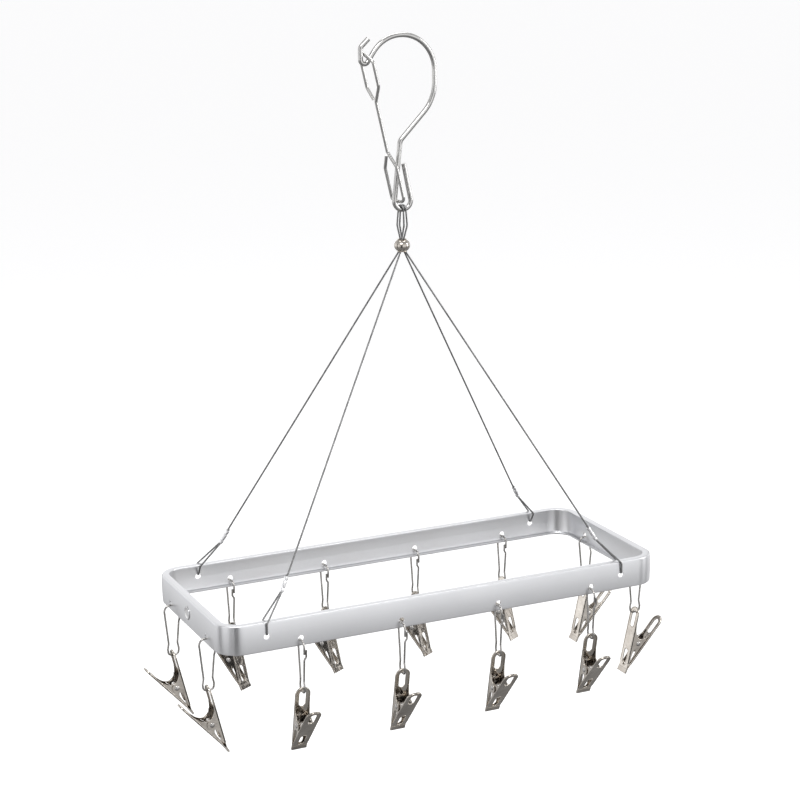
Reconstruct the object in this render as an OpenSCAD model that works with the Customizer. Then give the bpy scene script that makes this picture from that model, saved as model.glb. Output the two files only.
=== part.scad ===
// Clip drying hanger: a rounded rectangular aluminium rail carried by two wire
// ropes from a latched wire hook, with twelve spring clips on wire links.
// Units are millimetres. The origin is the point of the hook that rests on the
// pole, +Z is up and +X runs along the rail's long sides.

/* [Rail] */
// Length of the rail frame along X
rail_length = 384; // [372:1:420]
// Depth of the rail frame along Y
rail_depth = 160; // [150:1:200]
// Height of the rail section
rail_height = 23.5; // [22:0.5:28]
// Outer radius of the four corners
corner_radius = 20; // [16:1:30]
// Wall thickness of the rail section
rail_wall = 1.2; // [1:0.1:1.6]
// Width of the top lip, turned inwards
top_lip = 6.5; // [5:0.5:7]
// Width of the bottom lip, turned inwards
bottom_lip = 5.5; // [4.5:0.5:5.5]
// Radius of the shallow bulge of the outer face
face_bulge_radius = 140; // [100:10:300]
// Height of the pole contact above the rail's top
rail_drop = 427.5; // [427:0.5:428]

/* [Holes in the rail] */
// Spacing of the clips along the rail
clip_pitch = 85; // [80:1:88]
// Diameter of the holes
hole_d = 5; // [4.8:0.1:5.4]
// Depth of the link holes below the rail's top
link_hole_drop = 17.3; // [17:0.1:18]
// Depth of the cable holes below the rail's top
cable_hole_drop = 11.2; // [10.8:0.1:12]
// Distance from the outermost link hole to the cable hole
cable_hole_offset = 28; // [24:1:30]

/* [Splice] */
// Length of the splice plate inside the rail's joint
splice_length = 30; // [24:1:40]
// Thickness of the splice plate
splice_thickness = 1; // [0.8:0.1:1.2]
// Diameter of the splice rivet's flat head
splice_head_d = 11; // [8:0.5:12]

/* [Hook and latch] */
// Diameter of the hook's wire
hook_d = 4; // [3.8:0.1:4]
// Inside radius of the hook's bowl
bowl_radius = 26; // [25:0.5:27]
// Diameter of the latch's wire
latch_d = 2.6; // [2.2:0.1:2.6]

/* [Cables] */
// Diameter of the wire rope
cable_d = 1.5; // [1.2:0.1:1.5]
// Diameter of the bead that gathers the ropes
bead_d = 12.8; // [12:0.2:14]
// Height of the bead
bead_height = 9.8; // [9:0.2:10]
// Length of the crimp sleeves
sleeve_length = 12.5; // [10:0.5:13]

/* [Links] */
// Diameter of the link's wire
link_d = 1.6; // [1.4:0.1:1.6]
// Height of a link between its wire centres
link_height = 42.5; // [40:0.5:46]
// Width of a link at the top between its wire centres
link_width = 13.1; // [13:0.1:14]

/* [Clips] */
// Length of a jaw plate
jaw_length = 54; // [52:0.5:56]
// Width of a jaw plate
jaw_width = 12.6; // [12:0.2:13]
// Thickness of the sheet metal
sheet = 0.8; // [0.7:0.05:0.8]
// Length of the straight bill at the tip
bill_length = 4; // [3.5:0.5:4.5]
// Half of the angle between the two jaws
jaw_half_angle = 14.2; // [13.5:0.1:15]
// Distance from the tip to the pivot pin
pivot_rise = 28; // [27:0.5:29]
// Diameter of the pivot pin
pin_d = 2.5; // [2:0.1:2.6]
// Lean of the held jaw from the vertical when the clip hangs
hung_lean = 13.1; // [12:0.1:15]

/* [Hidden] */
$fn = 48;
hair = 0.05;
seam = 0.02;
tuck = 0.1;
hook_r = hook_d / 2;
cable_r = cable_d / 2;
rail_top = -rail_drop;
inner_reach = link_width / 2;

// Each station: name, x and y of the link's hole on the rail's outer face,
// outward direction in degrees, 1 or -1 for the leg that holds the overlap, and
// how far the link and its clip hang turned about the vertical.
end_x = rail_length / 2;
side_y = rail_depth / 2;
outer_leg = 1;
inner_leg = -1;
link_turn = 10;
clip_turn = 22;
STATIONS = [
    ["front_1", -1.5 * clip_pitch, -side_y, -90, outer_leg, 0, 0],
    ["front_2", -0.5 * clip_pitch, -side_y, -90, outer_leg, 0, 0],
    ["front_3", 0.5 * clip_pitch, -side_y, -90, outer_leg, 0, 0],
    ["front_4", 1.5 * clip_pitch, -side_y, -90, outer_leg, 0, 0],
    ["back_1", -1.5 * clip_pitch, side_y, 90, inner_leg, link_turn, clip_turn],
    ["back_2", -0.5 * clip_pitch, side_y, 90, inner_leg, link_turn, clip_turn],
    ["back_3", 0.5 * clip_pitch, side_y, 90, inner_leg, link_turn, clip_turn],
    ["back_4", 1.5 * clip_pitch, side_y, 90, inner_leg, link_turn, clip_turn],
    ["left_1", -end_x, -0.5 * clip_pitch, 180, inner_leg, 0, 0],
    ["left_2", -end_x, 0.5 * clip_pitch, 180, inner_leg, 0, 0],
    ["right_1", end_x, -0.5 * clip_pitch, 0, outer_leg, 0, 0],
    ["right_2", end_x, 0.5 * clip_pitch, 0, outer_leg, 0, 0],
];
CLIP_PIECES = ["link", "held_jaw", "free_jaw", "spring"];

// ---------------------------------------------------------------- wire forms

function unit(v) = v / norm(v);
function across(v) = unit(cross(v, abs(v[2]) < 0.9 * norm(v) ? [0, 0, 1] : [1, 0, 0]));
function turn_at(p, i) = acos(unit(p[i] - p[i - 1]) * unit(p[i + 1] - p[i]));
function is_end(p, i) = i == 0 || i == len(p) - 1;
function trim_at(p, r, i) = is_end(p, i) ? 0 : r[i] * tan(turn_at(p, i) / 2);

module in_frame(at, x, y, z) {
    multmatrix([
        [x[0], y[0], z[0], at[0]],
        [x[1], y[1], z[1], at[1]],
        [x[2], y[2], z[2], at[2]],
        [0, 0, 0, 1],
    ]) children();
}

// A straight round bar from one point to another.
module bar(from, to, d) {
    z = unit(to - from);
    x = across(z);
    in_frame(from, x, cross(z, x), z) cylinder(h = norm(to - from), d = d);
}

// A round bend of radius r that joins the two straights meeting at point i.
module bend(p, i, r, d) {
    u = unit(p[i] - p[i - 1]);
    v = unit(p[i + 1] - p[i]);
    start = p[i] - u * trim_at(p, r, i);
    side = unit(v - u * (u * v));
    in_frame(start + side * r[i], -side, u, cross(-side, u))
        rotate_extrude(angle = turn_at(p, i)) translate([r[i], 0]) circle(d = d, $fn = 24);
}

// A bent wire along the corner points p, with bend radius r[i] at point i. The
// straights run a little way into the bends, which are a hair thicker.
module wire(p, r, d) {
    for (i = [0 : len(p) - 2]) {
        u = unit(p[i + 1] - p[i]);
        first = trim_at(p, r, i) - (is_end(p, i) ? 0 : tuck);
        last = trim_at(p, r, i + 1) - (is_end(p, i + 1) ? 0 : tuck);
        bar(p[i] + u * first, p[i + 1] - u * last, d, $fn = 24);
    }
    for (i = [1 : len(p) - 2]) bend(p, i, r, d + seam);
}

// Points given by x and height above the rail's top, in the hook's plane.
function in_hook_plane(list) = [for (q = list) [q[0], 0, q[1] + rail_top]];

// ---------------------------------------------------------------- hook

bowl_r = bowl_radius + hook_r;
bowl_top = rail_drop + hook_r;
bowl_x = 2.5;
bowl_right = bowl_x + bowl_r;
slope = 55;
eye_bottom = 293.3;
eye_left = -6.7;
eye_right = 9.6;
eye_r = 6.9;
notch_floor = 408.8;
notch_x = -32.2;
slope_x = bowl_x - bowl_r * tan(slope / 2) - 0.6;
slope_foot = slope_x - (bowl_top - notch_floor) / tan(slope);
HOOK_PATH = in_hook_plane([
    [2.6, 329.5],
    [eye_right, eye_bottom],
    [eye_left, eye_bottom],
    [-0.1, 347.5],
    [bowl_right, 378.5],
    [bowl_right, bowl_top],
    [slope_x, bowl_top],
    [slope_foot, notch_floor],
    [notch_x, notch_floor],
    [notch_x, 421.5],
    [-25.4, 427.6],
]);
HOOK_BENDS = [0, eye_r, eye_r, 7, 33, bowl_r, bowl_r, 3, 3.3, 5, 0];

module hook() {
    color("gainsboro") wire(HOOK_PATH, HOOK_BENDS, hook_d);
}

// ---------------------------------------------------------------- latch

latch_foot = [-5, 0.6, 313 + rail_top];
latch_crown = [-28, -0.5, 415 + rail_top];
latch_axis = unit(latch_crown - latch_foot);
latch_rise = norm(latch_crown - latch_foot);
latch_heading = [cos(72), -sin(72), 0];
latch_side = unit(latch_heading - latch_axis * (latch_heading * latch_axis));
function on_latch(side, up) = latch_foot + side * latch_side + up * latch_axis;
upper_crotch = 68;
lower_crotch = 27;
loop_half = 7;
LATCH_PATH = [
    on_latch(-2.2, upper_crotch + 1.5),
    on_latch(-loop_half, upper_crotch + 11),
    on_latch(-loop_half, latch_rise + 4.8),
    on_latch(loop_half, latch_rise - 4.8),
    on_latch(loop_half, upper_crotch + 12),
    on_latch(0, upper_crotch),
    on_latch(0, lower_crotch),
    on_latch(loop_half, lower_crotch - 12),
    on_latch(loop_half, -14),
    on_latch(-loop_half, -13),
    on_latch(-loop_half, lower_crotch - 13),
    on_latch(-2, lower_crotch - 2.5),
];
LATCH_BENDS = [0, 4, 3, 3, 5, 4, 4, 4, 4, 4, 4, 0];

module latch() {
    color("silver") wire(LATCH_PATH, LATCH_BENDS, latch_d);
}

// ---------------------------------------------------------------- cables

bead_z = 264.7 + rail_top;
loop_floor = eye_bottom + rail_top;
bundle = 0.78;
cable_hole_x = 1.5 * clip_pitch + cable_hole_offset;
cable_hole_top = rail_top - cable_hole_drop + hole_d / 2 - cable_r;

// The main run aims at this point, level with the rail's top.
aim_x = cable_hole_x - 6.8;
aim_y = side_y - 5.4;
aim = [aim_x, aim_y, rail_top];
bead_point = [bundle, bundle, bead_z - 2.5];
run = unit(bead_point - aim);
sleeve_foot = aim + run * 22;
sleeve_head = sleeve_foot + run * sleeve_length;
tail_offset = unit(cross(run, cross([0, 1, 0], run))) * (cable_d + 0.08);
tail_end = sleeve_head - tail_offset - run;
outer_face = side_y + cable_r + 0.35;

// Rope end at one corner: down outside the rail, in through the hole, up inside
// the lip and back to the sleeve.
ROPE_END = [
    [cable_hole_x, outer_face, rail_top - 1],
    [cable_hole_x, outer_face, cable_hole_top],
    [cable_hole_x, side_y - 2.4, cable_hole_top],
    [cable_hole_x, side_y - top_lip - 1.6, rail_top - 0.5],
    sleeve_foot - tail_offset,
    tail_end,
];
ROPE_END_BENDS = [3, 1.4, 1.4, 3, 3, 0];

function flip(p, sx, sy) = [for (q = p) [q[0] * sx, q[1] * sy, q[2]]];
function reversed(list) = [for (i = [len(list) - 1 : -1 : 0]) list[i]];
function corner_run(sx, sy) = flip(concat([bead_point, sleeve_foot], ROPE_END), sx, sy);
CORNER_BENDS = concat([6, 3], ROPE_END_BENDS);

// The loop over the hook's eye, from its front strand to its back strand: x of
// both strands where the loop is widest and where it goes over the eye.
function eye_loop(sx, wide_x, crown_x, crown) = [
    [sx * bundle, -bundle, bead_z + 3.5],
    [wide_x[0], -3, bead_z + 16],
    [crown_x[0], -3, crown],
    [crown_x[1], 3, crown],
    [wide_x[1], 3, bead_z + 16],
    [sx * bundle, bundle, bead_z + 3.5],
];
EYE_LOOP_BENDS = [4, 8, 2.9, 2.9, 8, 4];

module rope(sx, wide_x, crown_x, crown) {
    path = concat(
        reversed(corner_run(sx, -1)),
        eye_loop(sx, wide_x, crown_x, crown),
        corner_run(sx, 1)
    );
    bends = concat(reversed(CORNER_BENDS), EYE_LOOP_BENDS, CORNER_BENDS);
    color("darkgray") wire(path, bends, cable_d);
}

module cable_left() {
    rope(-1, [0.6, -2.6], [0.3, -0.9], loop_floor + 3.55);
}

module cable_right() {
    rope(1, [3.4, -0.4], [2.2, 0.9], loop_floor + 3.45);
}

module oval(half, d) {
    for (s = [-half, half]) translate([s, 0]) circle(d = d);
    square([2 * half, 0.96 * d], center = true);
}

// Oval sleeve pressed round a rope's run and its tail.
module sleeve() {
    z = run;
    x = unit(tail_offset);
    half = norm(tail_offset) / 2;
    in_frame(sleeve_foot - x * half, x, cross(z, x), z) linear_extrude(sleeve_length)
        difference() {
            oval(half, cable_d + 1.3);
            oval(half, cable_d + 0.06);
        }
}

module crimp_sleeves() {
    color("lightgray")
        for (sx = [-1, 1]) for (sy = [-1, 1])
            mirror([sx < 0 ? 1 : 0, 0, 0]) mirror([0, sy < 0 ? 1 : 0, 0]) sleeve();
}

// Flattened ball with a bore that flares towards both ends.
module bead() {
    bore_r = 2.4;
    mouth_r = 3.9;
    edge_r = bead_height / 2;
    color("silver") translate([0, 0, bead_z]) rotate_extrude() difference() {
        union() {
            translate([bead_d / 2 - edge_r, 0]) circle(r = edge_r);
            translate([0, -edge_r]) square([mouth_r, bead_height]);
        }
        translate([0, -edge_r - 1]) square([bore_r, bead_height + 2]);
        for (s = [-1, 1]) polygon([
            [0, s * 0.9], [bore_r, s * 0.9], [mouth_r, s * (edge_r + 0.2)], [0, s * (edge_r + 0.2)],
        ]);
        translate([-bead_d, -bead_height]) square([bead_d, 2 * bead_height]);
    }
}

// ---------------------------------------------------------------- rail

// Section of the rail: x is the distance in from the outer face, y the height.
module rail_section() {
    difference() {
        intersection() {
            translate([0, -rail_height]) square([top_lip, rail_height]);
            translate([face_bulge_radius, -rail_height / 2]) circle(r = face_bulge_radius, $fn = 720);
        }
        translate([rail_wall, -rail_height + rail_wall])
            square([top_lip, rail_height - 2 * rail_wall]);
        translate([bottom_lip, -rail_height - 1]) square([top_lip, rail_height]);
    }
}

// A straight side whose outer face is at the given distance, facing angle a.
module rail_side(distance, length, a) {
    rotate([0, 0, a]) translate([distance, -length / 2, 0]) rotate([0, 0, 180])
        rotate([90, 0, 0]) linear_extrude(length) rail_section();
}

module rail_corner() {
    rotate_extrude(angle = 90) translate([corner_radius, 0]) mirror([1, 0]) rail_section();
}

module rail_hole(x, y, a, drop) {
    translate([x, y, rail_top - drop]) rotate([0, 0, a]) rotate([0, 90, 0])
        translate([0, 0, -3]) cylinder(h = 6, d = hole_d);
}

module rail_frame() {
    run_x = rail_length - 2 * corner_radius;
    run_y = rail_depth - 2 * corner_radius;
    color("lightsteelblue") difference() {
        translate([0, 0, rail_top]) {
            for (a = [0, 180]) rail_side(end_x, run_y, a);
            for (a = [90, 270]) rail_side(side_y, run_x, a);
            for (sx = [-1, 1]) for (sy = [-1, 1])
                mirror([sx < 0 ? 1 : 0, 0, 0]) mirror([0, sy < 0 ? 1 : 0, 0])
                    translate([run_x / 2, run_y / 2, 0]) rail_corner();
        }
        for (s = STATIONS) rail_hole(s[1], s[2], s[3], link_hole_drop);
        for (sx = [-1, 1]) for (sy = [-1, 1])
            rail_hole(sx * cable_hole_x, sy * side_y, sy * 90, cable_hole_drop);
        splice_bore(splice_shank_d);
    }
}

// ---------------------------------------------------------------- splice

splice_shank_d = 4;
splice_z = rail_top - rail_height / 2;
splice_face = -end_x + rail_wall;

module splice_bore(d) {
    translate([-end_x - 1, 0, splice_z]) rotate([0, 90, 0]) cylinder(h = 6, d = d + 0.04);
}

module splice_plate() {
    height = rail_height - 2 * rail_wall - 1.2;
    color("gray") difference() {
        translate([splice_face, -splice_length / 2, splice_z - height / 2])
            cube([splice_thickness, splice_length, height]);
        splice_bore(splice_shank_d);
    }
}

module splice_rivet() {
    head = 0.7;
    color("lightgray") translate([-end_x - head, 0, splice_z]) rotate([0, 90, 0]) {
        cylinder(h = head, d = splice_head_d);
        cylinder(h = head + rail_wall + splice_thickness + 1.2, d = splice_shank_d);
        translate([0, 0, head + rail_wall + splice_thickness]) cylinder(h = 1.2, d = 6.5);
    }
}

// ---------------------------------------------------------------- links

// Height of a link's top wire: it rests on the lower edge of its hole.
link_top = rail_top - link_hole_drop - hole_d / 2 + link_d / 2 + hair;
web_middle = rail_wall / 2;

// Places children at a station: x outward from the rail's wall, y along the
// rail, z up from the middle of the link's top wire.
module at_station(s) {
    translate([s[1], s[2], link_top]) rotate([0, 0, s[3]]) translate([-web_middle, 0, 0])
        rotate([0, 0, s[5]]) children();
}

module link(s) {
    m = s[4];
    neck = 3.7;
    bulb = 4.7;
    lap = link_d + 0.05;
    low = -link_height;
    path = [
        [m * (inner_reach - 0.6), 0, -10],
        [m * inner_reach, 0, 0],
        [-m * inner_reach, 0, 0],
        [-m * neck, 0, low + 10],
        [-m * bulb, 0, low + 5],
        [-m * 4.1, 0, low],
        [m * 4.1, 0, low],
        [m * bulb, 0, low + 5],
        [m * neck, 0, low + 10],
        [m * (inner_reach - 0.9), 0, -14.5],
        [m * (inner_reach - 0.8), lap, -12],
        [m * (inner_reach - 0.5), lap, -6.5],
    ];
    bends = [0, 5, 5, 5, 3, 3, 3, 3, 5, 2, 2, 0];
    color("silver") at_station(s) wire(path, bends, link_d);
}

// ---------------------------------------------------------------- clips

// In a clip's own frame the tip is at the origin, z runs up the middle between
// the jaws, x points away from the held jaw towards the free jaw, y is across.
jaw_gap = 0.06;
rim_height = 1;
rim_start = 4.8;
wear_r = link_d / 2 + 0.17;
slot_width = 5.5;
slot_length = 14;
end_bar = 3.5;
grip_slot_width = 4.5;
pin_r = pin_d / 2;
pivot_depth = pivot_rise - bill_length;

// Distance from the plate's foot to the pivot, along the plate and off its inside.
pivot_along = pivot_depth * cos(jaw_half_angle) - jaw_gap * sin(jaw_half_angle);
pivot_off = pivot_depth * sin(jaw_half_angle) + jaw_gap * cos(jaw_half_angle);

// The held jaw's end bar hangs on the link at this distance along its plate.
hang_gap = 0.3;
hang_along = jaw_length - end_bar - link_d / 2 - hang_gap;
hang_x = -jaw_gap - hang_along * sin(jaw_half_angle) - sheet / 2;
hang_z = bill_length + hang_along * cos(jaw_half_angle);

module plate_outline(inset) {
    r = jaw_width / 2 - inset;
    translate([-r, 0]) square([2 * r, jaw_length - jaw_width / 2]);
    translate([0, jaw_length - jaw_width / 2]) circle(r = r);
}

module slot(width, from, to) {
    translate([-width / 2, from + width / 2]) square([width, to - from - width]);
    for (y = [from + width / 2, to - width / 2]) translate([0, y]) circle(d = width);
}

module plate() {
    slot_end = jaw_length - end_bar;
    difference() {
        linear_extrude(sheet) difference() {
            plate_outline(0);
            slot(slot_width, slot_end - slot_length, slot_end);
            slot(grip_slot_width, 2.5, 15);
        }
        for (a = [0, 180]) translate([0, hang_along, sheet / 2]) rotate([a, 0, 0])
            cylinder(h = sheet, r1 = wear_r, r2 = wear_r + 0.7 * sheet);
    }
    translate([0, 0, -rim_height]) linear_extrude(rim_height + sheet / 2) difference() {
        plate_outline(0);
        plate_outline(sheet);
        translate([-jaw_width, -1]) square([2 * jaw_width, rim_start + 1]);
    }
}

// Side ear that carries the pin: x along the plate, y off its inside.
module ear_outline() {
    ear_r = 4.2;
    foot = 7;
    far = pivot_along + 15;
    difference() {
        union() {
            polygon([
                [foot, -sheet / 2], [foot, 1], [pivot_along - 3.4, pivot_off + 2.5],
                [pivot_along + 3.2, pivot_off + 2.7], [far, 1], [far, -sheet / 2],
            ]);
            translate([pivot_along, pivot_off]) circle(r = ear_r);
        }
        translate([far + 1.5, rim_height + 11]) circle(r = 11);
    }
}

module ears(outer_w, bore) {
    for (s = [-1, 1])
        translate([s * (outer_w / 2 - sheet / 2) + sheet / 2, 0, 0])
            rotate([0, -90, 0]) rotate([0, 0, 90]) linear_extrude(sheet) difference() {
                ear_outline();
                translate([pivot_along, pivot_off]) circle(d = bore);
            }
}

// One stamped jaw in its plate's frame: x across, y along, z outwards.
module jaw_blank(ear_width, bore) {
    plate();
    ears(ear_width, bore);
}

// Stands a jaw up in the clip's frame on the side given by s.
module stand(s) {
    translate([s * jaw_gap, 0, bill_length]) rotate([0, s * jaw_half_angle, 0])
        rotate([0, 0, s * 90]) rotate([90, 0, 0]) children();
}

module bill(s) {
    translate([s > 0 ? jaw_gap : -jaw_gap - sheet, -jaw_width / 2, 0])
        cube([sheet, jaw_width, bill_length]);
}

module jaw(s, ear_width, bore) {
    stand(s) jaw_blank(ear_width, bore);
    bill(s);
}

// Places a clip on its link: the clip's end bar hangs on the link's bottom wire.
module on_link(s) {
    at_station(s) translate([0, 0, -link_height]) rotate([0, 0, s[6]])
        rotate([0, jaw_half_angle + hung_lean, 0]) translate([-hang_x, 0, -hang_z]) children();
}

module held_jaw(s) {
    color("rosybrown") on_link(s) jaw(-1, jaw_width, pin_d + 0.04);
}

module free_jaw(s) {
    color("tan") on_link(s) jaw(1, jaw_width - 2 * sheet - 0.3, pin_d + 0.1);
}

// Rivet pin through the ears, with the coil spring round it.
module spring(s) {
    head = 0.7;
    coil_length = 7;
    color("lightgray") on_link(s) translate([0, 0, pivot_rise]) {
        rotate([90, 0, 0]) {
            cylinder(h = jaw_width, d = pin_d, center = true);
            for (m = [-1, 1]) translate([0, 0, m * (jaw_width + head) / 2])
                cylinder(h = head, d = 4.2, center = true);
        }
        rotate([90, 0, 0]) difference() {
            cylinder(h = coil_length, d = 5.2, center = true);
            cylinder(h = coil_length + 1, d = 3.2, center = true);
        }
        bar([-2.1, -3, 0], [-5.4, -3, 9], 1, $fn = 16);
        bar([2.1, 3, 0], [4.3, 3, 3], 1, $fn = 16);
    }
}

// ---------------------------------------------------------------- output

hook();
latch();
cable_left();
cable_right();
crimp_sleeves();
bead();
rail_frame();
splice_plate();
splice_rivet();
for (s = STATIONS) {
    link(s);
    held_jaw(s);
    free_jaw(s);
    spring(s);
}
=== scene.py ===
import math

import bpy
from mathutils import Matrix, Vector


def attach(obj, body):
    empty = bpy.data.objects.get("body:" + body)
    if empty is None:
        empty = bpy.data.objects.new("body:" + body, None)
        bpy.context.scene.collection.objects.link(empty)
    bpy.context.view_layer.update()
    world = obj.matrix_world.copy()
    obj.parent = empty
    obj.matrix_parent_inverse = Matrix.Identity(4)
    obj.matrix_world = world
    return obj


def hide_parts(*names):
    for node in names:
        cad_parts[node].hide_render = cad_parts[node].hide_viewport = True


MM = 0.001
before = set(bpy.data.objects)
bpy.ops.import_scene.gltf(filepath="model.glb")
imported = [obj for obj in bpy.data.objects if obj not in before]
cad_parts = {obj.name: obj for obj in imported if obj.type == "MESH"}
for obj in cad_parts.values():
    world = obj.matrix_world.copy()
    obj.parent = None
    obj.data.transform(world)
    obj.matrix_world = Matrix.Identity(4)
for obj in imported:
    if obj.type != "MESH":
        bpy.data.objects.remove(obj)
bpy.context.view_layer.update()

# ------------------------------------------------------------------ sizes, mm

RAIL_TOP = -427.5
END_X = 192.0
SIDE_Y = 80.0
RAIL_H = 23.5
CORNER = 20.0
PITCH = 85.0
LINK_DROP = 17.3
ROPE_DROP = 11.2
HOLE_R = 2.5
RAIL_WALL = 1.2
ROPE_X = 1.5 * PITCH + 28
ROPE_D = 1.5
BEAD_Z = 264.7 + RAIL_TOP
EYE_Z = 293.3 + RAIL_TOP
STATIONS = (
    [(f"front_{i + 1}", (i - 1.5) * PITCH, -SIDE_Y, -90) for i in range(4)]
    + [(f"back_{i + 1}", (i - 1.5) * PITCH, SIDE_Y, 90) for i in range(4)]
    + [(f"left_{i + 1}", -END_X, (i - 0.5) * PITCH, 180) for i in range(2)]
    + [(f"right_{i + 1}", END_X, (i - 0.5) * PITCH, 0) for i in range(2)]
)
SHEET = 0.8
JAW_L = 54.0
JAW_W = 12.6
BILL = 4.0
GAP = 0.06
HALF = math.radians(14.2)
LEAN = math.radians(13.1)
END_BAR = 3.5
LINK_R = 0.8
HANG_GAP = 0.3
PIVOT_RISE = 28.0
PIVOT_ALONG = (PIVOT_RISE - BILL) * math.cos(HALF) - GAP * math.sin(HALF)
PIVOT_OFF = (PIVOT_RISE - BILL) * math.sin(HALF) + GAP * math.cos(HALF)
HANG_ALONG = JAW_L - END_BAR - LINK_R - HANG_GAP
HANG_X = -GAP - HANG_ALONG * math.sin(HALF) - SHEET / 2
HANG_Z = BILL + HANG_ALONG * math.cos(HALF)
LINK_TOP = RAIL_TOP - LINK_DROP - HOLE_R + LINK_R + 0.05
HANG_BELOW_LINK = 42.5
HANG_IN = 0.6
BACK_TURN = math.radians(32)

# ------------------------------------------------------------------ materials


def new_material(name):
    m = bpy.data.materials.new(name)
    m.use_nodes = True
    return m, m.node_tree.nodes, m.node_tree.links, m.node_tree.nodes["Principled BSDF"]


def metal(name, dark, light, rough, rough_spread, scale, bump, bump_scale=None, bump_depth=0.0002):
    """A metal with its own cloudy tone, patchy polish and fine surface grain."""
    m, nodes, links, bsdf = new_material(name)
    bsdf.inputs["Metallic"].default_value = 1.0
    coord = nodes.new("ShaderNodeTexCoord")
    cloud = nodes.new("ShaderNodeTexNoise")
    cloud.inputs["Scale"].default_value = scale
    cloud.inputs["Detail"].default_value = 5
    links.new(coord.outputs["Object"], cloud.inputs["Vector"])
    tone = nodes.new("ShaderNodeValToRGB")
    tone.color_ramp.elements[0].position = 0.32
    tone.color_ramp.elements[0].color = (*dark, 1)
    tone.color_ramp.elements[1].position = 0.68
    tone.color_ramp.elements[1].color = (*light, 1)
    links.new(cloud.outputs["Fac"], tone.inputs["Fac"])
    links.new(tone.outputs["Color"], bsdf.inputs["Base Color"])
    polish = nodes.new("ShaderNodeMapRange")
    polish.inputs["To Min"].default_value = rough - rough_spread
    polish.inputs["To Max"].default_value = rough + rough_spread
    links.new(cloud.outputs["Fac"], polish.inputs["Value"])
    links.new(polish.outputs["Result"], bsdf.inputs["Roughness"])
    grain = nodes.new("ShaderNodeTexNoise")
    grain.inputs["Scale"].default_value = bump_scale or scale * 8
    grain.inputs["Detail"].default_value = 3
    links.new(coord.outputs["Object"], grain.inputs["Vector"])
    node = nodes.new("ShaderNodeBump")
    node.inputs["Strength"].default_value = bump
    node.inputs["Distance"].default_value = bump_depth
    links.new(grain.outputs["Fac"], node.inputs["Height"])
    links.new(node.outputs["Normal"], bsdf.inputs["Normal"])
    return m


MATERIALS = {
    "hook_wire": metal(
        "bright_hook_wire", (0.44, 0.435, 0.43), (0.58, 0.575, 0.56), 0.14, 0.05, 60, 0.05
    ),
    "latch_wire": metal(
        "bright_latch_wire", (0.46, 0.455, 0.45), (0.60, 0.595, 0.58), 0.14, 0.05, 70, 0.05
    ),
    "link_wire": metal(
        "bright_link_wire", (0.34, 0.33, 0.315), (0.48, 0.465, 0.45), 0.17, 0.06, 90, 0.08
    ),
    "wire_rope": metal(
        "stranded_rope", (0.20, 0.20, 0.20), (0.34, 0.34, 0.34), 0.34, 0.08, 140, 0.15
    ),
    "crimped_aluminium": metal(
        "pressed_sleeve", (0.72, 0.72, 0.73), (0.86, 0.86, 0.87), 0.24, 0.07, 120, 0.2
    ),
    "polished_nickel": metal(
        "polished_nickel", (0.40, 0.37, 0.33), (0.52, 0.485, 0.44), 0.10, 0.04, 50, 0.03
    ),
    "satin_aluminium": metal(
        "satin_anodised", (0.74, 0.745, 0.76), (0.79, 0.795, 0.81), 0.32, 0.03, 14, 0.10, 2600
    ),
    "rivet_aluminium": metal(
        "bright_rivet", (0.66, 0.66, 0.67), (0.78, 0.78, 0.78), 0.22, 0.05, 110, 0.08
    ),
    "clip_steel": metal(
        "pressed_clip_steel", (0.40, 0.365, 0.325), (0.66, 0.62, 0.565), 0.12, 0.05, 40, 0.22, 150, 0.0014
    ),
    "spring_steel": metal(
        "spring_steel", (0.42, 0.405, 0.39), (0.58, 0.565, 0.55), 0.18, 0.05, 90, 0.08
    ),
}

# ------------------------------------------------------------------ mesh tools


def make(name, verts, faces, slot, body, replaces=(), sharp=35):
    """A piece from points in millimetres."""
    me = bpy.data.meshes.new(name)
    me.from_pydata([tuple(c * MM for c in v) for v in verts], [], faces)
    me.validate()
    me.update()
    return finish_piece(name, me, slot, body, replaces, sharp)


def finish_piece(name, me, slot, body, replaces=(), sharp=35):
    for p in me.polygons:
        p.use_smooth = True
    me.set_sharp_from_angle(angle=math.radians(sharp))
    me.materials.clear()
    me.materials.append(MATERIALS[slot])
    obj = bpy.data.objects.new(name, me)
    bpy.context.scene.collection.objects.link(obj)
    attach(obj, body)
    if replaces:
        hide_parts(*replaces)
    return obj


def filleted(points, radii, step=0.8, turns=10):
    """The corner points as one smooth line, each corner rounded to its radius."""
    pts = [Vector(p) for p in points]
    line = [pts[0]]
    for i in range(1, len(pts) - 1):
        u = (pts[i] - pts[i - 1]).normalized()
        v = (pts[i + 1] - pts[i]).normalized()
        th = u.angle(v)
        if th < 1e-4 or radii[i] == 0:
            line.append(pts[i])
            continue
        trim = radii[i] * math.tan(th / 2)
        side = (v - u * u.dot(v)).normalized()
        centre = pts[i] - u * trim + side * radii[i]
        for k in range(turns + 1):
            a = th * k / turns
            line.append(centre - side * radii[i] * math.cos(a) + u * radii[i] * math.sin(a))
    line.append(pts[-1])
    out = [line[0]]
    for p in line[1:]:
        d = (p - out[-1]).length
        if d < 1e-5:
            continue
        n = max(1, int(d / step))
        a = out[-1].copy()
        out.extend(a.lerp(p, (k + 1) / n) for k in range(n))
    return out


def carried_frames(path):
    """A tangent and two cross directions at each point, carried along without twist."""
    tangents = []
    for i in range(len(path)):
        a = path[max(0, i - 1)]
        b = path[min(len(path) - 1, i + 1)]
        tangents.append((b - a).normalized())
    t = tangents[0]
    u = t.cross(Vector((0, 0, 1)) if abs(t.z) < 0.9 else Vector((1, 0, 0))).normalized()
    frames = []
    for t in tangents:
        u = (u - t * u.dot(t)).normalized()
        frames.append((t, u, t.cross(u)))
    return frames


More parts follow.
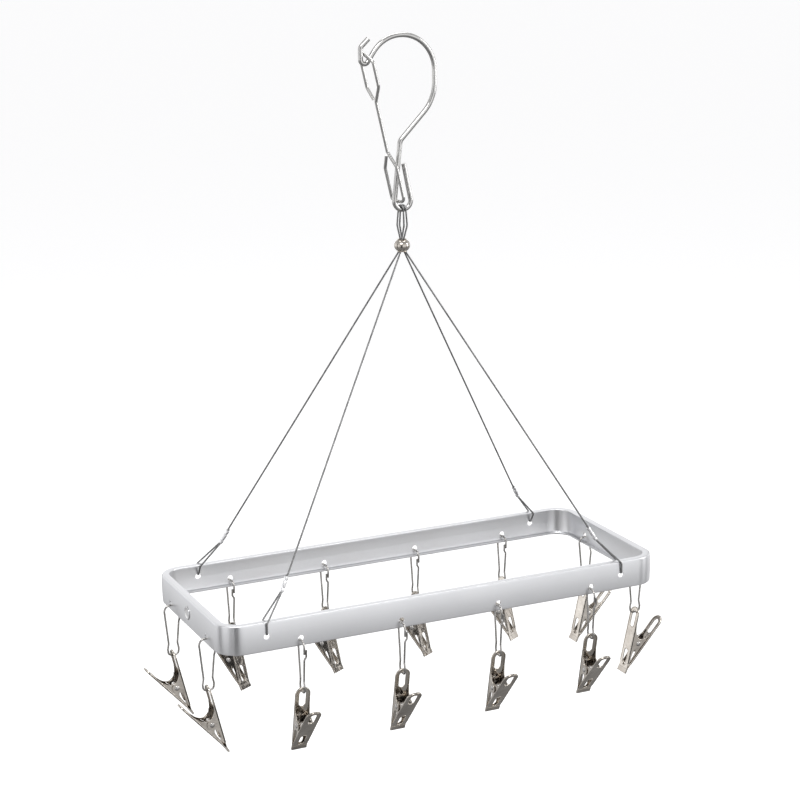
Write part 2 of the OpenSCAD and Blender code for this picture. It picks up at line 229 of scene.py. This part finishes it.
def tube(path, radius, sides, frames=None, verts=None, faces=None):
    """Adds a round tube along the path to verts and faces."""
    verts = [] if verts is None else verts
    faces = [] if faces is None else faces
    frames = frames or carried_frames(path)
    base = len(verts)
    for p, (t, u, v) in zip(path, frames):
        for k in range(sides):
            a = 2 * math.pi * k / sides
            verts.append(p + u * (radius * math.cos(a)) + v * (radius * math.sin(a)))
    for i in range(len(path) - 1):
        for k in range(sides):
            n = (k + 1) % sides
            a = base + i * sides
            b = a + sides
            faces.append((a + k, a + n, b + n, b + k))
    faces.append(tuple(base + k for k in reversed(range(sides))))
    faces.append(tuple(base + (len(path) - 1) * sides + k for k in range(sides)))
    return verts, faces


def lathe(profile, at, axis, steps=48):
    """Turns (radius, height) points about the axis through the point."""
    z = Vector(axis).normalized()
    x = z.cross(Vector((0, 0, 1)) if abs(z.z) < 0.9 else Vector((1, 0, 0))).normalized()
    y = z.cross(x)
    verts = []
    for r, h in profile:
        for k in range(steps):
            a = 2 * math.pi * k / steps
            verts.append(Vector(at) + z * h + x * (r * math.cos(a)) + y * (r * math.sin(a)))
    faces = []
    for i in range(len(profile) - 1):
        for k in range(steps):
            n = (k + 1) % steps
            faces.append((i * steps + k, i * steps + n, (i + 1) * steps + n, (i + 1) * steps + k))
    faces.append(tuple(reversed(range(steps))))
    faces.append(tuple((len(profile) - 1) * steps + k for k in range(steps)))
    return verts, faces


def arc(cx, cy, r, a0, a1, n=12):
    """Points on a circle from a0 to a1 degrees."""
    turns = [math.radians(a0 + (a1 - a0) * k / n) for k in range(n + 1)]
    return [(cx + r * math.cos(a), cy + r * math.sin(a)) for a in turns]


def stamped(outlines, thick, edge, place):
    """Sheet metal cut to the outlines, its edges rounded, as (points, faces)."""
    curve = bpy.data.curves.new("cut", "CURVE")
    curve.dimensions = "2D"
    curve.fill_mode = "BOTH"
    curve.extrude = thick / 2 - edge
    curve.bevel_depth = edge
    curve.bevel_resolution = 2
    curve.offset = -edge
    for pts in outlines:
        spline = curve.splines.new("POLY")
        spline.points.add(len(pts) - 1)
        for q, (x, y) in zip(spline.points, pts):
            q.co = (x, y, 0, 1)
        spline.use_cyclic_u = True
    obj = bpy.data.objects.new("cut", curve)
    bpy.context.scene.collection.objects.link(obj)
    me = bpy.data.meshes.new_from_object(obj.evaluated_get(bpy.context.evaluated_depsgraph_get()))
    bpy.data.objects.remove(obj)
    pts = [place @ v.co for v in me.vertices]
    faces = [tuple(p.vertices) for p in me.polygons]
    bpy.data.meshes.remove(me)
    return pts, faces


def joined(parts):
    verts, faces = [], []
    for v, f in parts:
        base = len(verts)
        verts += v
        faces += [tuple(base + i for i in q) for q in f]
    return verts, faces


def moved(part, m):
    return [m @ v for v in part[0]], part[1]


# ------------------------------------------------------------------ rail


def rail_profile():
    """The rail's section as (distance in from the outer face, height)."""
    mid = -RAIL_H / 2
    crown_r, top_lip, bottom_lip = 140, 6.5, 5.5
    heights = [-1.5 - k * (RAIL_H - 3) / 8 for k in range(9)]
    outer = [(crown_r - math.sqrt(crown_r**2 - (h - mid) ** 2), h) for h in heights]
    foot = -RAIL_H + RAIL_WALL
    pts = [(top_lip, -RAIL_WALL), (top_lip, 0), (0.5, 0)] + outer
    pts += [(0.5, -RAIL_H), (bottom_lip, -RAIL_H), (bottom_lip, foot)]
    pts += [(1.5, foot), (1.25, mid), (1.5, -RAIL_WALL)]
    radii = {1: 0.5, 2: 0.7, 12: 0.7, 13: 0.5, 15: 0.8, 17: 0.8}
    line = []
    n = len(pts)
    for i in range(n):
        p = Vector((*pts[i], 0))
        if i not in radii:
            line.append(p)
            continue
        u = (p - Vector((*pts[i - 1], 0))).normalized()
        v = (Vector((*pts[(i + 1) % n], 0)) - p).normalized()
        th = u.angle(v)
        r = radii[i]
        side = (v - u * u.dot(v)).normalized()
        centre = p - u * (r * math.tan(th / 2)) + side * r
        for k in range(7):
            a = th * k / 6
            line.append(centre - side * r * math.cos(a) + u * r * math.sin(a))
    return line


def rail():
    profile = rail_profile()
    verts, faces = [], []
    ring = []
    for q in range(4):
        cx = (END_X - CORNER) * (1 if q in (0, 3) else -1)
        cy = (SIDE_Y - CORNER) * (1 if q in (0, 1) else -1)
        for k in range(17):
            ring.append((cx, cy, math.radians(90 * q + 90 * k / 16)))
    for cx, cy, a in ring:
        for p in profile:
            r = CORNER - p.x
            verts.append(Vector((cx + r * math.cos(a), cy + r * math.sin(a), RAIL_TOP + p.y)))
    n, m = len(profile), len(ring)
    for i in range(m):
        for k in range(n):
            a, b = i * n, ((i + 1) % m) * n
            faces.append((a + k, b + k, b + (k + 1) % n, a + (k + 1) % n))
    me = bpy.data.meshes.new("rail_blank")
    me.from_pydata([tuple(c * MM for c in v) for v in verts], [], faces)
    me.update()
    blank = bpy.data.objects.new("rail_blank", me)
    bpy.context.scene.collection.objects.link(blank)
    cuts = []
    for name, x, y, a in STATIONS:
        cuts.append((x, y, a, LINK_DROP))
    for sx in (-1, 1):
        for sy in (-1, 1):
            cuts.append((sx * ROPE_X, sy * SIDE_Y, sy * 90, ROPE_DROP))
    parts = []
    for x, y, a, drop in cuts:
        out = Vector((math.cos(math.radians(a)), math.sin(math.radians(a)), 0))
        at = Vector((x, y, RAIL_TOP - drop))
        parts.append(lathe([(HOLE_R, -3.2), (HOLE_R, 3.2)], at, out, 32))
    cv, cf = joined(parts)
    cm = bpy.data.meshes.new("rail_holes")
    cm.from_pydata([tuple(c * MM for c in v) for v in cv], [], cf)
    cm.update()
    cutter = bpy.data.objects.new("rail_holes", cm)
    bpy.context.scene.collection.objects.link(cutter)
    mod = blank.modifiers.new("holes", "BOOLEAN")
    mod.operation = "DIFFERENCE"
    mod.solver = "EXACT"
    mod.object = cutter
    graph = bpy.context.evaluated_depsgraph_get()
    skin = bpy.data.meshes.new_from_object(blank.evaluated_get(graph))
    bpy.data.objects.remove(blank)
    bpy.data.objects.remove(cutter)
    skin.name = "rail_skin"
    finish_piece("rail_skin", skin, "satin_aluminium", "hanging_frame", ["rail_frame"], 40)


def rivet():
    at = (-END_X, 0, RAIL_TOP - RAIL_H / 2)
    profile = [(5.0, 0.0), (5.5, 0.05), (5.5, 0.3), (5.25, 0.58), (4.7, 0.68)]
    profile += [(4.2, 0.62), (3.6, 0.38), (2.6, 0.28), (1.2, 0.3), (0.1, 0.34)]
    shank_profile = [(2.0, 0), (2.0, 2.4), (3.1, 2.5), (3.2, 2.9), (2.6, 3.35), (0.2, 3.4)]
    head = lathe(profile, at, (-1, 0, 0))
    shank = lathe(shank_profile, at, (1, 0, 0), 32)
    verts, faces = joined([head, shank])
    make("splice_rivet_turned", verts, faces, "rivet_aluminium", "hanging_frame", ["splice_rivet"])


# ------------------------------------------------------------------ ropes

# A rope's strands: the length of one turn, the core, and where they run round it.
LAY = 8.5
CORE_R = 0.36
STRAND_AT = 0.48
STRAND_R = 0.265
BUNDLE = 0.78
HOLE_TOP = RAIL_TOP - ROPE_DROP + HOLE_R - ROPE_D / 2
AIM = Vector((ROPE_X - 6.8, SIDE_Y - 5.4, RAIL_TOP))
BEAD_POINT = Vector((BUNDLE, BUNDLE, BEAD_Z - 2.5))
RUN = (BEAD_POINT - AIM).normalized()
SLEEVE_FOOT = AIM + RUN * 22
SLEEVE_L = 12.5
TAIL = RUN.cross(Vector((0, 1, 0)).cross(RUN)).normalized() * (ROPE_D + 0.08)
OUT_Y = SIDE_Y + ROPE_D / 2 + 0.35


def corner_run(sx, sy):
    pts = [
        BEAD_POINT,
        SLEEVE_FOOT,
        Vector((ROPE_X, OUT_Y, RAIL_TOP - 1)),
        Vector((ROPE_X, OUT_Y, HOLE_TOP)),
        Vector((ROPE_X, SIDE_Y - 2.4, HOLE_TOP)),
        Vector((ROPE_X, SIDE_Y - 8.1, RAIL_TOP - 0.5)),
        SLEEVE_FOOT - TAIL,
        SLEEVE_FOOT + RUN * (SLEEVE_L + 1.5) - TAIL,
    ]
    return [Vector((p.x * sx, p.y * sy, p.z)) for p in pts]


def rope(name, sx, wide, crown_x, crown):
    loop = [
        Vector((sx * BUNDLE, -BUNDLE, BEAD_Z + 3.5)),
        Vector((wide[0], -3, BEAD_Z + 16)),
        Vector((crown_x[0], -3, crown)),
        Vector((crown_x[1], 3, crown)),
        Vector((wide[1], 3, BEAD_Z + 16)),
        Vector((sx * BUNDLE, BUNDLE, BEAD_Z + 3.5)),
    ]
    points = corner_run(sx, -1)[::-1] + loop + corner_run(sx, 1)
    ends = [6, 3, 3, 1.4, 1.4, 3, 3, 0]
    path = filleted(points, ends[::-1] + [4, 8, 2.9, 2.9, 8, 4] + ends, 0.9, 8)
    frames = carried_frames(path)
    run = 0.0
    turn = []
    for i, p in enumerate(path):
        run += (p - path[i - 1]).length if i else 0
        turn.append(2 * math.pi * run / LAY)
    verts, faces = tube(path, CORE_R, 6, frames)
    for k in range(6):
        strand = []
        for p, (t, u, v), a in zip(path, frames, turn):
            b = a + k * math.pi / 3
            strand.append(p + u * (STRAND_AT * math.cos(b)) + v * (STRAND_AT * math.sin(b)))
        tube(strand, STRAND_R, 6, frames, verts, faces)
    make(name + "_strands", verts, faces, "wire_rope", "hanging_frame", [name], 80)


def sleeves():
    parts = []
    half = (ROPE_D + 0.08) / 2
    steps, sides = 30, 28
    x0 = TAIL.normalized()
    y0 = RUN.cross(x0)
    for sx in (-1, 1):
        for sy in (-1, 1):
            flip = Matrix.Diagonal((sx, sy, 1, 1))
            rings = []
            for i in range(steps + 1):
                t = i / steps
                pinch = max(math.exp(-(((t - c) / 0.07) ** 2)) for c in (0.27, 0.73))
                lip = 0.22 * (math.exp(-((t / 0.03) ** 2)) + math.exp(-(((1 - t) / 0.03) ** 2)))
                r = (ROPE_D + 1.3) / 2 * (1 - 0.20 * pinch) - lip
                wide = half * (1 - 0.1 * pinch)
                centre = SLEEVE_FOOT - x0 * half + RUN * (t * SLEEVE_L)
                ring = []
                for k in range(sides):
                    a = 2 * math.pi * k / sides
                    off = r * math.cos(a) + wide * (1 if math.cos(a) > 0 else -1)
                    ring.append(flip @ (centre + x0 * off + y0 * (r * math.sin(a))))
                rings.append(ring)
            verts = [p for ring in rings for p in ring]
            faces = []
            for i in range(steps):
                a, b = i * sides, (i + 1) * sides
                for k in range(sides):
                    n = (k + 1) % sides
                    faces.append((a + k, a + n, b + n, b + k))
            faces.append(tuple(reversed(range(sides))))
            faces.append(tuple(steps * sides + k for k in range(sides)))
            if sx * sy < 0:
                faces = [tuple(reversed(f)) for f in faces]
            parts.append((verts, faces))
    verts, faces = joined(parts)
    nodes = ["crimp_sleeves"]
    make("pressed_sleeves", verts, faces, "crimped_aluminium", "hanging_frame", nodes, 50)


def bead():
    edge, bore, mouth, r = 4.9, 2.4, 3.9, 6.4
    profile = [(bore, -0.9), (3.1, -3.0), (mouth - 0.1, -4.75), (mouth + 0.1, -edge + 0.02)]
    for k in range(15):
        a = math.radians(-72 + 144 * k / 14)
        profile.append((r - edge + edge * math.cos(a), edge * math.sin(a)))
    profile += [(mouth + 0.1, edge - 0.02), (mouth - 0.1, 4.75), (3.1, 3.0), (bore, 0.9)]
    profile = [q for q in profile if q[0] >= bore]
    steps = 64
    verts = []
    for x, z in profile:
        for k in range(steps):
            a = 2 * math.pi * k / steps
            verts.append(Vector((x * math.cos(a), x * math.sin(a), BEAD_Z + z)))
    n = len(profile)
    faces = []
    for i in range(n):
        j = (i + 1) % n
        for k in range(steps):
            m = (k + 1) % steps
            faces.append((i * steps + k, i * steps + m, j * steps + m, j * steps + k))
    make("turned_bead", verts, faces, "polished_nickel", "hanging_frame", ["bead"], 50)


# ------------------------------------------------------------------ clips


def standing(s):
    return (
        Matrix.Translation((s * GAP, 0, BILL))
        @ Matrix.Rotation(s * HALF, 4, "Y")
        @ Matrix.Rotation(s * math.pi / 2, 4, "Z")
        @ Matrix.Rotation(math.pi / 2, 4, "X")
    )


def slot_line(width, a, b):
    r = width / 2
    return arc(0, a + r, r, 180, 360) + arc(0, b - r, r, 0, 180)


RIM_START = 4.8
RIM_DEPTH = 0.7
EAR_BORE = 2.6


def jaw(s, ear_width):
    """One stamped jaw in the clip's own frame."""
    half = JAW_W / 2
    crown = JAW_L - half
    outline = [(-half, 0), (half, 0)] + arc(0, crown, half, 0, 180, 28)
    end = JAW_L - END_BAR
    slots = [slot_line(5.5, end - 14, end), slot_line(5.2, 2.4, 16.5)]
    parts = [stamped([outline] + slots, 0.6, 0.15, Matrix.Translation((0, 0, 0.2)))]
    lips = [slot_line(7.3, end - 14.9, end + 0.9), slot_line(6.8, 1.6, 17.3)]
    for slot, lip in zip(slots, lips):
        parts.append(stamped([lip, slot], 0.5, 0.2, Matrix.Translation((0, 0, 0.47))))
    inner = half - 0.95
    rim = [(half, RIM_START)] + arc(0, crown, half, 0, 180, 28)
    rim += [(-half, RIM_START), (-inner, RIM_START)]
    rim += arc(0, crown, inner, 180, 0, 28) + [(inner, RIM_START)]
    middle = Matrix.Translation((0, 0, (SHEET - RIM_DEPTH) / 2))
    parts.append(stamped([rim], RIM_DEPTH + SHEET, 0.3, middle))
    pa, po = PIVOT_ALONG, PIVOT_OFF
    ear = [(4.9, -0.4), (4.9, 0.9), (7.5, 1.5), (pa - 10, 2.0), (pa - 6.5, 2.9)]
    ear += arc(pa, po, 4.2, 190, 28, 20)
    a0, b0 = ear[-1]
    a2, b2 = pa + 15, 0.9
    for k in range(1, 11):
        t = k / 10
        c0, c1, c2 = (1 - t) ** 2, 2 * t * (1 - t), t * t
        ear.append((c0 * a0 + c1 * (pa + 5.2) + c2 * a2, c0 * b0 + c1 * 1.4 + c2 * b2))
    ear.append((a2, -0.4))
    hole = arc(pa, po, EAR_BORE / 2, 0, 345, 23)
    for e in (-1, 1):
        out = e * (ear_width / 2 - SHEET / 2)
        place = Matrix(((0, 0, -1, out), (1, 0, 0, 0), (0, -1, 0, 0), (0, 0, 0, 1)))
        parts.append(stamped([ear, hole], SHEET, 0.18, place))
    body = moved(joined(parts), standing(s))
    flat = [(-half, 0), (half, 0), (half, BILL + 0.25), (-half, BILL + 0.25)]
    place = Matrix(((0, 0, 1, s * (GAP + SHEET / 2)), (1, 0, 0, 0), (0, 1, 0, 0), (0, 0, 0, 1)))
    return joined([body, stamped([flat], SHEET, 0.15, place)])


SPRING_R = 0.45


def coil_spring():
    """Pin, rivet heads and coil round the pivot, with the leg on the held jaw."""
    half = JAW_W / 2
    head = [(1.25, half - 0.01), (2.1, half), (1.95, half + 0.3), (1.3, half + 0.62), (0.3, half + 0.72)]
    pin = [(r, -h) for r, h in reversed(head)] + head
    parts = [lathe(pin, (0, 0, PIVOT_RISE), (0, 1, 0), 36)]
    turns, sides, length, r = 6, 20, 6.2, 2.1
    coil = []
    for k in range(turns * sides + 1):
        a = 2 * math.pi * k / sides
        y = -length / 2 + length * k / (turns * sides)
        coil.append(Vector((-r * math.cos(a), y, PIVOT_RISE + r * math.sin(a))))
    leg = Vector((-5.3, -length / 2, PIVOT_RISE + 9))
    lead = [leg.lerp(coil[0], t / 8) for t in range(8)]
    parts.append(tube(lead + coil, SPRING_R, 10))
    return joined(parts)


def spring_leg():
    """The spring's other leg, which lies against the free jaw and moves with it."""
    start = Vector((-2.1, 3.1, PIVOT_RISE))
    bend = Vector((2.0, 3.15, PIVOT_RISE + 1.2))
    tip = Vector((5.2, 3.15, PIVOT_RISE + 8.6))
    path = [start.lerp(bend, t / 4) for t in range(4)] + [bend.lerp(tip, t / 8) for t in range(9)]
    return tube(path, SPRING_R, 10)


def clips():
    held = jaw(-1, JAW_W)
    free = jaw(1, JAW_W - 2 * SHEET - 0.3)
    coil = coil_spring()
    leg = spring_leg()
    for name, x, y, a in STATIONS:
        at = (
            Matrix.Translation((x, y, LINK_TOP))
            @ Matrix.Rotation(math.radians(a), 4, "Z")
            @ Matrix.Translation((-HANG_IN, 0, -HANG_BELOW_LINK))
            @ Matrix.Rotation(BACK_TURN if name.startswith("back") else 0, 4, "Z")
            @ Matrix.Rotation(HALF + LEAN, 4, "Y")
            @ Matrix.Translation((-HANG_X, 0, -HANG_Z))
        )
        for piece, part, node, body, slot in (
            ("held_stamping", held, "held_jaw", "clip", "clip_steel"),
            ("free_stamping", free, "free_jaw", "free_jaw", "clip_steel"),
            ("wound_spring", coil, "spring", "clip", "spring_steel"),
        ):
            v, f = moved(part, at)
            make(f"{piece}_{name}", v, f, slot, f"{body}_{name}", [f"{node}_{name}"], 40)
        v, f = moved(leg, at)
        make(f"spring_leg_{name}", v, f, "spring_steel", f"free_jaw_{name}", (), 40)


rail()
rivet()
rope("cable_left", -1, (0.6, -2.6), (0.3, -0.9), EYE_Z + 3.55)
rope("cable_right", 1, (3.4, -0.4), (2.2, 0.9), EYE_Z + 3.45)
sleeves()
bead()
clips()

# The CAD wires and plate keep their shapes and get their finishes.
SLOT_OF = {"hook": "hook_wire", "latch": "latch_wire", "splice_plate": "satin_aluminium"}
for name, x, y, a in STATIONS:
    SLOT_OF["link_" + name] = "link_wire"
for node, slot in SLOT_OF.items():
    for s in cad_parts[node].material_slots:
        s.material = MATERIALS[slot]

# ------------------------------------------------------------------ studio


def plain(name, colour, rough):
    m, nodes, links, bsdf = new_material(name)
    bsdf.inputs["Roughness"].default_value = rough
    bsdf.inputs["Base Color"].default_value = (*colour, 1)
    return m


def panel(name, size, at, look, colour, seen):
    """A flat studio panel that faces a point."""
    me = bpy.data.meshes.new(name)
    w, h = size[0] / 2, size[1] / 2
    me.from_pydata([(-w, -h, 0), (w, -h, 0), (w, h, 0), (-w, h, 0)], [], [(0, 1, 2, 3)])
    obj = bpy.data.objects.new(name, me)
    bpy.context.scene.collection.objects.link(obj)
    obj.location = at
    if look is not None:
        obj.rotation_euler = (Vector(look) - Vector(at)).to_track_quat("Z", "Y").to_euler()
    me.materials.append(plain(name + "_paper", colour, 0.9))
    obj.visible_camera = seen
    return obj


def softbox(name, size, at, look, power):
    light = bpy.data.lights.new(name, "AREA")
    light.shape = "RECTANGLE"
    light.size, light.size_y = size
    light.energy = power
    obj = bpy.data.objects.new(name, light)
    bpy.context.scene.collection.objects.link(obj)
    obj.location = at
    obj.rotation_euler = (Vector(look) - Vector(at)).to_track_quat("-Z", "Y").to_euler()
    obj.visible_camera = False
    return obj


FLOOR_Z = -0.95
CARDS_AT = 1.9
MIDDLE = (0, 0, -0.4)
floor = panel("floor", (90, 90), (0, 0, FLOOR_Z), None, (0.90, 0.90, 0.90), True)
floor.visible_glossy = False
paper = floor.data.materials[0].node_tree.nodes["Principled BSDF"]
paper.inputs["Emission Color"].default_value = (1, 1, 1, 1)
paper.inputs["Emission Strength"].default_value = 0.30
for k, (turn, wide, tall, high, shade) in enumerate((
    (-118, 0.75, 2.4, 0.1, 0.015),
    (-40, 0.34, 2.0, 0.0, 0.03),
    (-8, 0.30, 2.2, 0.1, 0.02),
    (42, 0.45, 1.8, 0.0, 0.02),
    (98, 0.30, 1.8, 0.0, 0.03),
    (172, 0.40, 2.2, 0.1, 0.02),
    (218, 0.25, 2.0, 0.0, 0.03),
)):
    a = math.radians(turn)
    at = (CARDS_AT * math.cos(a), CARDS_AT * math.sin(a), high - 0.4)
    look = (0, 0, high - 0.4)
    card = panel(f"card_{k + 1}", (wide, tall), at, look, (shade,) * 3, False)
    card.visible_diffuse = False
    card.visible_shadow = False
softbox("key", (1.2, 0.8), (-0.9, -1.2, 1.4), MIDDLE, 20)
softbox("top", (1.6, 1.0), (0.3, 0.5, 1.6), MIDDLE, 20)
softbox("side", (0.35, 1.4), (1.7, -0.9, 0.2), MIDDLE, 12)

world = bpy.data.worlds.new("studio")
bpy.context.scene.world = world
world.use_nodes = True
wn, wl = world.node_tree.nodes, world.node_tree.links
sky = wn["Background"]
coord = wn.new("ShaderNodeTexCoord")
split = wn.new("ShaderNodeSeparateXYZ")
wl.new(coord.outputs["Generated"], split.inputs["Vector"])
height = wn.new("ShaderNodeMapRange")
height.inputs["From Min"].default_value = -1
height.inputs["From Max"].default_value = 1
wl.new(split.outputs["Z"], height.inputs["Value"])
ramp = wn.new("ShaderNodeValToRGB")
wl.new(height.outputs["Result"], ramp.inputs["Fac"])
stops = [(-1, 0.22), (-0.64, 0.34), (-0.46, 0.52), (-0.27, 0.80)]
stops += [(-0.08, 1.45), (0.25, 1.15), (0.6, 0.70), (1, 0.50)]
while len(ramp.color_ramp.elements) < len(stops):
    ramp.color_ramp.elements.new(0.5)
for e, (z, v) in zip(ramp.color_ramp.elements, stops):
    e.position = (z + 1) / 2
    e.color = (v, v, v * 1.01, 1)
path = wn.new("ShaderNodeLightPath")
seen = wn.new("ShaderNodeMix")
seen.data_type = "RGBA"
seen.inputs[7].default_value = (0.93, 0.93, 0.93, 1)
wl.new(path.outputs["Is Camera Ray"], seen.inputs[0])
wl.new(ramp.outputs["Color"], seen.inputs[6])
wl.new(seen.outputs[2], sky.inputs["Color"])
sky.inputs["Strength"].default_value = 1.0
bpy.context.scene.view_settings.view_transform = "Standard"

# ------------------------------------------------------------------ camera

AZIMUTH = math.radians(-24.285)
ELEVATION = math.radians(14.19)
ROLL = math.radians(-1.104)
camera_data = bpy.data.cameras.new("camera")
camera_data.lens = 93.6
camera_data.sensor_width = 36
camera_data.clip_end = 60
camera = bpy.data.objects.new("camera", camera_data)
bpy.context.scene.collection.objects.link(camera)
level = math.cos(ELEVATION)
back = Vector((math.sin(AZIMUTH) * level, -math.cos(AZIMUTH) * level, math.sin(ELEVATION)))
turn = back.to_track_quat("Z", "Y").to_matrix().to_4x4() @ Matrix.Rotation(ROLL, 4, "Z")
spot = Vector((-0.673637, -1.483242, 0.122545))
camera.matrix_world = Matrix.Translation(spot) @ turn
bpy.context.scene.camera = camera
